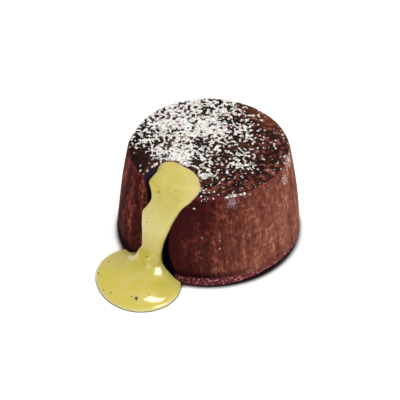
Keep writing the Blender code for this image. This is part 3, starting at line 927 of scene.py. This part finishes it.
def make_custard_material():
    material, tree, shader, place = start_material(
        "egg custard", IOR=1.42, Subsurface_Weight=0.45, Subsurface_Scale=1.6 * MM
    )
    shader.inputs["Subsurface Radius"].default_value = CUSTARD_GLOW
    height = add_node(tree, "SeparateXYZ", {0: place}).outputs["Z"]
    level = add_node(tree, "MapRange", {"Value": height, "From Max": HEIGHT})
    flow_and_sheen = add_node(tree, "ValToRGB", {"Fac": level}, stops=CUSTARD_COLOURS_AND_SHEEN)
    swirl = add_node(
        tree,
        "TexNoise",
        {"Vector": place, "Scale": per_metre(CUSTARD_SWIRL), "Detail": 3, "Distortion": 0.6},
    )
    stirred = lay_over(tree, flow_and_sheen, "#d1c576", swirl, 0.35, 0.65, 0.6)
    # Painted highlight: a pale tan edge where the custard touches the sponge
    near = add_node(tree, "Attribute", attribute_name="near_sponge").outputs["Fac"]
    painted_edge = add_node(tree, "Mix", {SHARE: near, UNDER: stirred, OVER: "#d9b68c"}, data_type="RGBA")
    # Painted shade: dark deep in the hollow
    deep = add_node(tree, "Attribute", attribute_name="deep").outputs["Fac"]
    hollow_shaded = add_node(tree, "Mix", {SHARE: deep, UNDER: painted_edge, OVER: "#1c120c"}, data_type="RGBA")
    skin = add_node(tree, "TexNoise", {"Vector": place, "Scale": per_metre(CUSTARD_SKIN), "Detail": 3})
    wrinkled = add_node(tree, "MapRange", {"Value": skin, "To Min": 0.1, "To Max": 0.22})
    dried = add_node(tree, "MapRange", {"Value": height, "From Min": DRY_START, "From Max": DRY_FULL})
    finish = {
        "Base Color": hollow_shaded,
        "Roughness": add_node(tree, "Math", {0: dried, 1: 0.35, 2: wrinkled}, operation="MULTIPLY_ADD"),
        "Coat Weight": add_node(tree, "MapRange", {"Value": dried, "To Min": 0.3, "To Max": 0}),
        "Normal": add_node(tree, "Bump", {"Height": skin, "Distance": 0.03 * MM}),
    }
    set_inputs(shader, finish)
    return material


CUSTARD_MATERIAL = make_custard_material()
print("made", CUSTARD_MATERIAL.name)

# %% [markdown]
# ## The custard's body
#
# The custard is one liquid shape: it stands in the gash, hangs down the side and spreads into a pool
# with a rounded edge. Four simple solids are joined, and a voxel remesh and a smoothing melt them
# into one skin, as surface tension does. The egg-shaped heart joins them, as it needs no melting.
# Then the custard is trimmed to the room that the sponge leaves it, and to the table.

# %% The custard's sections
def turns(count):
    """Equal steps round a circle, in radians."""
    return [math.tau * step / count for step in range(count)]


def squared(turn, squareness):
    """A point on a circle, pushed out towards the corners of its square as squareness falls below 1."""
    return [math.copysign(abs(value) ** squareness, value) for value in (math.cos(turn), math.sin(turn))]


def level_ring(middle, height, radii):
    """A level ring round a middle, with a radius for each of its directions."""
    ring = []
    for turn, radius in zip(turns(len(radii)), radii):
        ring.append(middle + Vector((radius * math.cos(turn), radius * math.sin(turn), height)))
    return ring


def stream_sections():
    """Sections across the custard's path, each a rounded slab that hangs inwards from its outer face."""
    face = [Vector((0, y, z)) for y, z, _, _, _ in STREAM_STATIONS]
    sections = []
    for i, (_, _, left, right, thick) in enumerate(STREAM_STATIONS):
        along = face[min(i + 1, len(face) - 1)] - face[max(i - 1, 0)]
        inward = Vector((1, 0, 0)).cross(along).normalized()
        section = []
        for turn in turns(STREAM_POINTS):
            across, up = squared(turn, STREAM_SQUARENESS)
            x = (left + right) / 2 + across * (right - left) / 2
            point = face[i] + inward * thick * (1 - up) / 2
            section.append(Vector((x, point.y, point.z)) * MM)
        sections.append(section)
    return sections


def plug_sections():
    """The custard that stands in the gash behind the stream."""
    sections = []
    for height, _, _, back, left, right in GASH_LEVELS:
        if height > PLUG_TOP:
            break
        section = []
        for turn in turns(STREAM_POINTS):
            across, deep = squared(turn, PLUG_SQUARENESS)
            x = (left + right) / 2 + across * (right - left) / 2
            y = (PLUG_FRONT + back) / 2 + deep * (back - PLUG_FRONT) / 2
            section.append(Vector((x, y, height)) * MM)
        sections.append(section)
    return sections


def mound_sections():
    rings = []
    for height, radius in MOUND_RINGS:
        rings.append(level_ring(MOUND_MIDDLE, height * MM, [radius * MM] * POOL_POINTS))
    return rings


def pool_sections():
    """Level outlines of the pool, with a bulging edge that draws in where it meets the table."""
    directions = turns(POOL_POINTS)
    widest = [POOL_RADIUS + POOL_STRETCH * math.cos(2 * (turn - POOL_LONG_AXIS)) for turn in directions]
    rings = []
    for height, inset in POOL_RINGS:
        rings.append(level_ring(POOL_MIDDLE, height * MM, [radius - inset * MM for radius in widest]))
    return rings


# %% The custard, melted into one and trimmed
CUSTARD_VOXEL = 0.55 * MM
CUSTARD_SMOOTHING = 26
CUSTARD_CREASE = math.radians(50)
CUSTARD_CLEAR = 0.06 * MM
HEART_CLEAR = 0.02 * MM
SHELL_SPACING = 2 * MM
SHELL_STEPS = 96
TABLE_BLOCK = (200 * MM, 200 * MM, 20 * MM)
# How strong and how wide the painted highlight along the custard's edge is
EDGE_HIGHLIGHT = 0.8
EDGE_HIGHLIGHT_WIDTH = 1.1 * MM
STREAM_SHADE_STRENGTH = 0.95
# How far the painted shade beside the stream reaches at the foot, and the share of that reach that it loses
# at the top
STREAM_SHADE_WIDTH = 19 * MM
STREAM_SHADE_NARROWING = 0.5


def make_room():
    """The part of the gash that custard stands in, without the dark hollow beside it."""
    room = make_gash("room", CUSTARD_CLEAR)
    rings = []
    for height, _, _, _, left, right in GASH_LEVELS:
        corners = ((left, GASH_MOUTH), (right, GASH_MOUTH), (right, 0), (left, 0))
        rings.append([Vector((x, y, height)) * MM for x, y in corners])
    combine(room, "INTERSECT", loft("sides", rings))
    return room


def make_table():
    """A block whose top is the table, to trim the custard with."""
    bpy.ops.mesh.primitive_cube_add(size=1)
    table = bpy.context.object
    table.data.transform(Matrix.Diagonal((*TABLE_BLOCK, 1)) @ Matrix.Translation((0, 0, -0.5)))
    return table


def make_custard():
    custard = loft("custard", stream_sections(), CUSTARD_MATERIAL)
    for sections in (plug_sections(), mound_sections(), pool_sections()):
        combine(custard, "UNION", loft("piece", sections, CUSTARD_MATERIAL))
    blend = custard.modifiers.new("Blend", "REMESH")
    blend.mode = "VOXEL"
    blend.voxel_size = CUSTARD_VOXEL
    melt = custard.modifiers.new("Melt", "SMOOTH")
    melt.iterations = CUSTARD_SMOOTHING
    apply_modifiers(custard)
    combine(custard, "UNION", make_heart("heart_custard", 0, CUSTARD_MATERIAL))
    shell = turned_sponge("shell", SHELL_STEPS, SHELL_SPACING, CUSTARD_CLEAR, TOP_CLEARANCE)
    combine(shell, "DIFFERENCE", make_room())
    combine(shell, "DIFFERENCE", make_heart("heart_room", HEART_CLEAR))
    combine(custard, "DIFFERENCE", shell, "MANIFOLD")
    combine(custard, "DIFFERENCE", make_table())
    custard.data.shade_smooth()
    custard.data.set_sharp_from_angle(angle=CUSTARD_CREASE)
    return custard


def surface_of(obj):
    """A tree that finds where a ray meets the object's mesh, and what lies nearest."""
    return BVHTree.FromObject(obj, bpy.context.evaluated_depsgraph_get())


def mark_custard_light_and_shade(custard, sponge_surface):
    """Marks how near the sponge each vertex of the custard is, for its painted edge highlight, and how deep
    in the hollow, for its painted shade.
    """
    near = custard.data.attributes.new("near_sponge", "FLOAT", "POINT")
    deep = custard.data.attributes.new("deep", "FLOAT", "POINT")
    for index, vertex in enumerate(custard.data.vertices):
        _, _, _, away = sponge_surface.find_nearest(vertex.co)
        near.data[index].value = EDGE_HIGHLIGHT * max(0, 1 - away / EDGE_HIGHLIGHT_WIDTH)
        deep.data[index].value = min(1, max(0, depth_below(vertex.co) / DRY_DEPTH - 1))


def shade_sponge_by_stream(sponge, custard_surface):
    """Marks the painted shade on the sponge beside the stream: right of it, and furthest at the foot."""
    stream_shade = sponge.data.attributes.new("stream_shade", "FLOAT", "POINT")
    for index, vertex in enumerate(sponge.data.vertices):
        reach = STREAM_SHADE_WIDTH * (1 - STREAM_SHADE_NARROWING * vertex.co.z / HEIGHT)
        _, _, _, away = custard_surface.find_nearest(vertex.co, reach)
        if away is not None and vertex.co.x > 0:
            stream_shade.data[index].value = STREAM_SHADE_STRENGTH * (1 - (away / reach) ** 2)


custard = make_custard()
sponge_surface = surface_of(sponge)
custard_surface = surface_of(custard)
mark_custard_light_and_shade(custard, sponge_surface)
shade_sponge_by_stream(sponge, custard_surface)
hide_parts("molten_custard")
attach(custard, "root")
print("custard:", triangle_count(custard), "triangles")

# %% [markdown]
# ## Icing sugar
#
# Icing sugar clings to the high crumbs of the crust in soft, winding ridges, and leaves dark pits
# between them. A texture would look printed on from the side, so the sugar is a thin sheet with a
# height of its own. It stands above the crust wherever a sum of noises passes the drifts' level, and
# dips under the crust elsewhere, where it is left out. Loose clumps lie on and beside it. The finish
# is matt and bright, with grey between its specks, and light goes a little way into it.

# %% The sugar's material
# As in the film, the grain itself is too fine to show, so its specks are drawn coarser
SUGAR_GRAIN = 0.9


def make_sugar_material():
    material, tree, shader, place = start_material(
        "icing sugar", IOR=1.5, Subsurface_Weight=0.3, Subsurface_Scale=0.3 * MM, Specular_IOR_Level=0.2
    )
    grains = add_node(tree, "TexNoise", {"Vector": place, "Scale": per_metre(SUGAR_GRAIN), "Detail": 3})
    finish = {
        "Base Color": lay_over(tree, "#aba098", "#fefaf6", grains, 0.36, 0.64),
        "Roughness": add_node(tree, "MapRange", {"Value": grains, "To Min": 0.8, "To Max": 1.0}),
        "Normal": add_node(tree, "Bump", {"Height": grains, "Distance": 0.05 * MM}),
    }
    set_inputs(shader, finish)
    return material


SUGAR_MATERIAL = make_sugar_material()
print("made", SUGAR_MATERIAL.name)

# %% [markdown]
# Everything loose on the food is a rough lump: a small ball that is squashed, turned at random, and
# has each of its points pushed in or out. Copies of one lump would be lighter, but there are few
# enough for each to have a shape of its own, so none repeats.

# %% Lumps, and how they are laid on a surface
# The seed is fixed, so every run draws the same lumps
draw = random.Random(11)


def ball(subdivisions):
    """The vertices and faces of a ball of diameter 1, which the lumps are squashed from."""
    shape = bmesh.new()
    bmesh.ops.create_icosphere(shape, subdivisions=subdivisions, radius=0.5)
    points = [vertex.co.copy() for vertex in shape.verts]
    faces = [[vertex.index for vertex in face.verts] for face in shape.faces]
    shape.free()
    return points, faces


def seen_at(surface, across, down):
    """Where the food shows at this place in the photograph, with its normal."""
    sight = Vector((across - PHOTO_SIDE / 2, PHOTO_SIDE / 2 - down, -FOCAL_PIXELS)).normalized()
    place, normal, _, _ = surface.ray_cast(camera.location, camera.matrix_world.to_3x3() @ sight)
    return (place, normal) if place else None


class Lumps:
    """Rough lumps that are gathered into one mesh."""

    def __init__(self, subdivisions=1, unevenness=0.25):
        self.ball, self.ball_faces = ball(subdivisions)
        self.unevenness = unevenness
        self.points = []
        self.faces = []

    def add(self, place, normal, length, width, thickness):
        """Adds a lump that lies on the surface. Its width and thickness are shares of its length."""
        first = len(self.points)
        turn = Matrix.Rotation(draw.uniform(0, math.tau), 3, "Z")
        size = Matrix.Diagonal((length, length * width, length * thickness))
        matrix = normal.to_track_quat("Z", "Y").to_matrix() @ turn @ size
        for point in self.ball:
            swell = draw.uniform(1 - self.unevenness, 1 + self.unevenness)
            self.points.append(place + matrix @ (point * swell))
        self.faces.extend([first + index for index in face] for face in self.ball_faces)

    def add_seen(self, surface, places, width, thickness):
        """Adds a lump at each place in the photograph's pixels, with its length in mm."""
        for across, down, length in places:
            self.add(*seen_at(surface, across, down), length * MM, width, thickness)

    def finish(self, name, material):
        """Turns the lumps into one object that rides with the cake."""
        mesh = bpy.data.meshes.new(name)
        mesh.from_pydata(self.points, [], self.faces)
        mesh.shade_smooth()
        piece = add_object(name, mesh, material)
        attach(piece, "root")
        print(f"{name}: {triangle_count(piece)} triangles")
        return piece


# %% [markdown]
# The sheet is a fine square grid, and a ray down to the crust places each of its points. A noise is
# near nought along winding lines, so that is where the ridges run. Finer noises break them into
# lumps, and a broad one makes patches. Where the noise is well under its level, the grid is left out.

# %% The sheet of sugar on the crust
SUGAR_PITCH = 0.2 * MM
RIDGE_HEIGHT = 0.4 * MM
# The sheet goes on this far under its level, so that its edge dips under the crust
SHEET_END = -0.5
# Lumps of each noise in a metre
SUGAR_LUMPS = 650
SUGAR_FINE_LUMPS = 1600
SUGAR_WINDINGS = 500
SUGAR_PATCHES = 160
# A ridge winds along wherever its noise is nearer nought than this
RIDGE_WIDTH = 0.2
RIDGE_WEIGHT = 1.2
# How far the sum of the noises commonly strays from nought
NOISE_SPREAD = 0.3
UP = Vector((0, 0, 1))


def crust_under(x, y):
    """The crust's place and normal here, or None where custard or the gash is."""
    above = Vector((x, y, 2 * HEIGHT))
    place, normal, _, away = sponge_surface.ray_cast(above, -UP)
    _, _, _, custard_away = custard_surface.ray_cast(above, -UP)
    if place is None or place.z < CRUST_EDGE or (custard_away and custard_away < away):
        return None
    return place, normal


def sugar_passes(x, y):
    """How far the noise passes the level for sugar here. There is sugar where it is above nought."""
    place = Vector((x, y, 0))
    patch = noise.noise(place * SUGAR_PATCHES) / 2
    lump = noise.noise(place * SUGAR_LUMPS) + noise.noise(place * SUGAR_FINE_LUMPS) / 2
    ridge = RIDGE_WIDTH - abs(noise.noise(place * SUGAR_WINDINGS + UP))
    return (patch + lump + RIDGE_WEIGHT * ridge) / NOISE_SPREAD + powder_level(x, y)


def add_sugar_sheet(lumps):
    """Adds the ridges of sugar, cell by cell of a square grid."""
    steps = round(TOP_RADIUS / SUGAR_PITCH)
    made = {}
    for i in range(-steps, steps + 1):
        for j in range(-steps, steps + 1):
            x, y = i * SUGAR_PITCH, j * SUGAR_PITCH
            passes = sugar_passes(x, y) if math.hypot(x, y) < TOP_RADIUS else SHEET_END
            found = crust_under(x, y) if passes > SHEET_END else None
            if found:
                made[i, j] = len(lumps.points)
                lumps.points.append(found[0] + UP * RIDGE_HEIGHT * math.tanh(passes))
    for (i, j), first in made.items():
        cell = [made.get(corner) for corner in ((i, j), (i + 1, j), (i + 1, j + 1), (i, j + 1))]
        if None not in cell:
            lumps.faces.append(cell)


sugar = Lumps()
add_sugar_sheet(sugar)
print("sheet of sugar:", len(sugar.faces), "cells")

# %% [markdown]
# Sugar falls in clumps as well as in powder, and a few lie where the powder between them is thin. They
# are dropped at random and kept where the noise lets them hold, so they crowd along the ridges.

# %% Loose clumps on the crust
SUGAR_CLUMPS = 1400
# Shortest, longest and commonest length, in mm
CLUMP_LENGTH = (0.25, 0.9, 0.4)
# The least and the most, as shares of the length
CLUMP_WIDTH = (0.5, 0.9)
CLUMP_THICKNESS = (0.4, 0.7)
# How far its middle is above the crust, as shares of the ridges' height
CLUMP_RISE = (0, 0.6)
# A clump holds where the noise passes the level for sugar by more than a number drawn from here
CLUMP_HOLD = (-0.8, 0.6)


def add_top_sugar(lumps):
    """Drops clumps from above. They hold where sugar lies, or nearly does."""
    kept = 0
    while kept < SUGAR_CLUMPS:
        x, y = (draw.uniform(-TOP_RADIUS, TOP_RADIUS) for _ in range(2))
        found = crust_under(x, y) if sugar_passes(x, y) > draw.uniform(*CLUMP_HOLD) else None
        if not found:
            continue
        length = draw.triangular(*CLUMP_LENGTH) * MM
        shape = (draw.uniform(*CLUMP_WIDTH), draw.uniform(*CLUMP_THICKNESS))
        lumps.add(found[0] + UP * RIDGE_HEIGHT * draw.uniform(*CLUMP_RISE), found[1], length, *shape)
        kept += 1


add_top_sugar(sugar)
print("loose clumps:", SUGAR_CLUMPS)

# %% [markdown]
# A little sugar missed the top or slid off it. It lies as bright flakes along the shoulder, as a
# thin scatter at the right, and in two short runs down the front. Along the shoulder the brightest
# flakes also stand in for glints, painted highlights where the wet rim catches light. Each larger
# flake has its own place, and the finer grains are scattered round theirs, densest in the middle.

# %% Sugar that fell past the rim
GRAIN_SHORTEST = 0.2
GRAIN_COMMONEST = 0.25
# Width and thickness, as shares of the length
GRAIN_SHAPE = (0.7, 0.5)
FLAKE_SHAPE = (0.7, 0.4)
# How many standard deviations of the scatter reach a sprinkle's edge
SPRINKLE_REACH = 1.5
# In the photograph's pixels: across, down, half width and half height. Then the number of grains,
# and the longest grain in mm
SPRINKLES = (
    # The first sprinkle, along the crease, is partly painted glints
    (236, 195.5, 10, 1.3, 40, 0.8),
    (232, 203, 8, 6.5, 22, 0.35),
    (219.7, 236, 0.3, 1.5, 5, 0.6),
    (219.8, 249, 0.3, 1.0, 4, 0.6),
    (219.9, 243, 0.4, 6.0, 6, 0.35),
    (204, 238, 4, 1.0, 7, 0.25),
    (288, 160, 2.2, 6.0, 90, 0.5),
    (285, 179, 2.5, 6.0, 40, 0.4),
    (205, 197, 4, 4.0, 16, 0.6),
    (262, 184, 14, 5.0, 20, 0.4),
)
# The larger flakes, some of them painted glints: across and down in the photograph's pixels, and length in
# mm
FLAKES_AND_GLINTS = (
    (201.2, 196.3, 1.1),
    (204.0, 192.5, 0.9),
    (209.3, 192.8, 1.1),
    (213.5, 198.6, 0.9),
    (201.5, 201.0, 0.7),
    (204.5, 199.5, 0.7),
    (194.2, 208.6, 1.0),
    (227.0, 197.5, 1.8),
    (231.0, 196.5, 1.3),
    (235.0, 195.8, 1.6),
    (240.5, 194.4, 1.2),
    (244.5, 193.4, 1.8),
    (284.3, 183.7, 1.1),
    (283.0, 178.0, 0.8),
    (286.5, 178.5, 0.8),
    (288.5, 160.0, 1.1),
    (285.0, 156.0, 1.3),
    (284.5, 163.0, 1.2),
    (289.0, 153.5, 1.0),
    (289.5, 166.0, 1.0),
    (281.0, 169.0, 0.9),
    (287.0, 169.5, 0.8),
    (152.0, 166.8, 1.4),
    (154.5, 165.2, 1.8),
    (156.6, 163.9, 1.5),
)


def add_sprinkles(lumps):
    """Scatters the grains of each sprinkle over the side, where it shows."""
    for across, down, wide, tall, count, longest in SPRINKLES:
        for _ in range(count):
            x, y = draw.gauss(across, wide / SPRINKLE_REACH), draw.gauss(down, tall / SPRINKLE_REACH)
            found = seen_at(sponge_surface, x, y)
            if found:
                length = draw.triangular(GRAIN_SHORTEST, longest, GRAIN_COMMONEST) * MM
                lumps.add(*found, length, *GRAIN_SHAPE)


add_sprinkles(sugar)
sugar.add_seen(sponge_surface, FLAKES_AND_GLINTS, *FLAKE_SHAPE)
sugar.finish("icing_sugar", SUGAR_MATERIAL)

# %% [markdown]
# ## Crumbs
#
# The crust crumbled along the tear, and a few crumbs cling there. They are the dry outer millimetre
# of the cake, so they are paler and more orange than the wet sponge behind them, and on the tear's
# left edge this is partly a painted highlight where the edge catches light. Each is a small rough
# lump, placed where the photograph shows one and half sunk in the torn edge.

# %% The crumbs
CRUMB_SHAPE = (0.8, 0.6)
# Across and down in the photograph's pixels, and length in mm
CRUMBS = (
    (144.6, 191.0, 1.0),
    (144.2, 194.5, 1.1),
    (145.0, 197.5, 1.0),
    (143.5, 188.0, 0.8),
    (145.8, 202.5, 0.8),
    (146.8, 205.5, 0.7),
    (143.0, 185.0, 0.7),
    (142.0, 191.0, 0.8),
    (142.6, 197.5, 0.9),
    (191.5, 202.0, 0.8),
    (187.5, 207.5, 0.7),
    (200.8, 187.5, 0.8),
)


def make_crumbs_material():
    material, tree, shader, place = start_material("dry cake crumb", IOR=1.4, Specular_IOR_Level=0.1)
    mottle = add_node(tree, "TexNoise", {"Vector": place, "Scale": per_metre(CRUMB_SIZE), "Detail": 3})
    # Its orange top stop is partly a painted highlight
    colours = ((0.4, "#4a1a14"), (0.5, "#7a3d20"), (0.62, "#a8632f"))
    finish = {
        "Base Color": add_node(tree, "ValToRGB", {"Fac": mottle}, stops=colours),
        "Roughness": add_node(tree, "MapRange", {"Value": mottle, "To Min": 0.7, "To Max": 1.0}),
        "Normal": add_node(tree, "Bump", {"Height": mottle, "Distance": 0.2 * MM}),
    }
    set_inputs(shader, finish)
    return material


crumbs = Lumps(subdivisions=2, unevenness=0.3)
crumbs.add_seen(sponge_surface, CRUMBS, *CRUMB_SHAPE)
crumbs.finish("crumbs", make_crumbs_material())

# %% [markdown]
# ## Vanilla seeds
#
# The custard was made with vanilla, and its seeds show as a few dark specks just under the skin.
# Each is a flat dark grain, glossy with custard, and most are about a millimetre long. A painted dot
# would have no edge to catch the light, so each is a lump, placed where the photograph shows one and
# set into the surface so that only its top stands out.

# %% The seeds
SEED_SHAPE = (0.6, 0.25)
SEED_MOTTLE = 0.3
# Across and down in the photograph's pixels, and length in mm
SEEDS = (
    (109.0, 261.5, 1.0),
    (98.6, 273.0, 1.0),
    (103.0, 290.0, 0.9),
    (110.7, 292.7, 0.9),
    (136.4, 298.6, 1.9),
    (131.5, 296.5, 0.8),
    (149.0, 295.0, 0.9),
    (146.6, 256.8, 0.8),
    (158.9, 192.0, 0.9),
    (176.0, 191.0, 0.6),
    (146.5, 222.0, 0.8),
)


def make_seed_material():
    material, tree, shader, place = start_material("vanilla seed", IOR=1.45)
    mottle = add_node(tree, "TexNoise", {"Vector": place, "Scale": per_metre(SEED_MOTTLE)})
    colours = ((0.35, "#33240f"), (0.65, "#6e5426"))
    finish = {
        "Base Color": add_node(tree, "ValToRGB", {"Fac": mottle}, stops=colours),
        "Roughness": add_node(tree, "MapRange", {"Value": mottle, "To Min": 0.2, "To Max": 0.6}),
    }
    set_inputs(shader, finish)
    return material


seeds = Lumps(subdivisions=2)
seeds.add_seen(custard_surface, SEEDS, *SEED_SHAPE)
seeds.finish("vanilla_seeds", make_seed_material())

# %% [markdown]
# ## The floor and the light
#
# The photograph is a studio cut-out: a white table that glows a little, a large soft light
# overhead, a fill beside the camera and a key light from the right, which leaves the left of the
# cake dark. Two reflectors draw the two small highlights on the wet pool. The floor is painted
# darker only within a few millimetres of the food, a painted contact shadow, as the cut-out kept
# nothing but that shadow. The standard view keeps white white, where a filmic one would turn it grey.

# %% The floor
FLOOR_SIZE = 6.0
FLOOR_GLOW = 0.3
FLOOR_MOTTLE = 30
CONTACT_SHADOW = 3 * MM


def make_floor():
    material, tree, shader, place = start_material(
        "matt white table, lit from below",
        Roughness=0.8,
        Specular_IOR_Level=0.2,
        Emission_Strength=FLOOR_GLOW,
    )
    mottle = add_node(tree, "TexNoise", {"Vector": place, "Scale": per_metre(FLOOR_MOTTLE)})
    white = add_node(tree, "ValToRGB", {"Fac": mottle}, stops=((0, "#f6f6f6"), (1, "#f9f9f9")))
    # Painted contact shadow: darker where ambient occlusion finds the food within a few millimetres
    open_air = add_node(tree, "AmbientOcclusion", {"Distance": CONTACT_SHADOW}).outputs["AO"]
    painted_contact_shadow = lay_over(tree, "#30241e", white, open_air, 0.42, 0.88)
    set_inputs(shader, {"Base Color": painted_contact_shadow, "Emission Color": painted_contact_shadow})
    bpy.ops.mesh.primitive_plane_add(size=FLOOR_SIZE)
    floor = bpy.context.object
    floor.name = "floor"
    floor.data.materials.append(material)
    print("floor:", FLOOR_SIZE, "m square")


make_floor()

# %% The light
WORLD_STRENGTH = 0.5
LIGHT_AIM = Vector((0, 0, 20)) * MM
# Name, watts, width and height in metres, then degrees right of straight behind, and above level
SOFTBOXES = (
    ("overhead", 6.6, 1.0, 1.0, 0, 85),
    ("key", 2.6, 0.3, 0.3, 97, 25),
    ("fill", 1.9, 0.45, 0.45, 186, 22),
    ("back glint", 7.0, 0.4, 0.3, 33, 65),
    ("front glint", 12.0, 0.5, 0.55, 126, 46),
)


def add_softbox(name, watts, wide, tall, turn, height):
    """A lamp a metre from the cake, aimed at it."""
    lamp = bpy.data.lights.new(name, "AREA")
    lamp.shape = "RECTANGLE"
    lamp.size, lamp.size_y = wide, tall
    lamp.energy = watts
    obj = bpy.data.objects.new(name, lamp)
    bpy.context.scene.collection.objects.link(obj)
    turn, height = math.radians(turn), math.radians(height)
    level = math.cos(height)
    out = Vector((level * math.sin(turn), level * math.cos(turn), math.sin(height)))
    obj.location = LIGHT_AIM + CAMERA_TURN @ out
    obj.rotation_euler = (obj.location - LIGHT_AIM).to_track_quat("Z", "Y").to_euler()
    return obj


softboxes = {row[0]: add_softbox(*row) for row in SOFTBOXES}
# The overhead light is so large that its mirror image would veil the custard
softboxes["overhead"].visible_glossy = False
# Only the wet custard shows these two, as the small highlights on its pool
softboxes["back glint"].visible_diffuse = False
softboxes["front glint"].visible_diffuse = False

world = bpy.data.worlds.new("studio")
bpy.context.scene.world = world
world.use_nodes = True
world.node_tree.nodes["Background"].inputs["Color"].default_value = linear("#ffffff")
world.node_tree.nodes["Background"].inputs["Strength"].default_value = WORLD_STRENGTH
bpy.context.scene.view_settings.view_transform = "Standard"
print(len(softboxes), "softboxes and a white world")
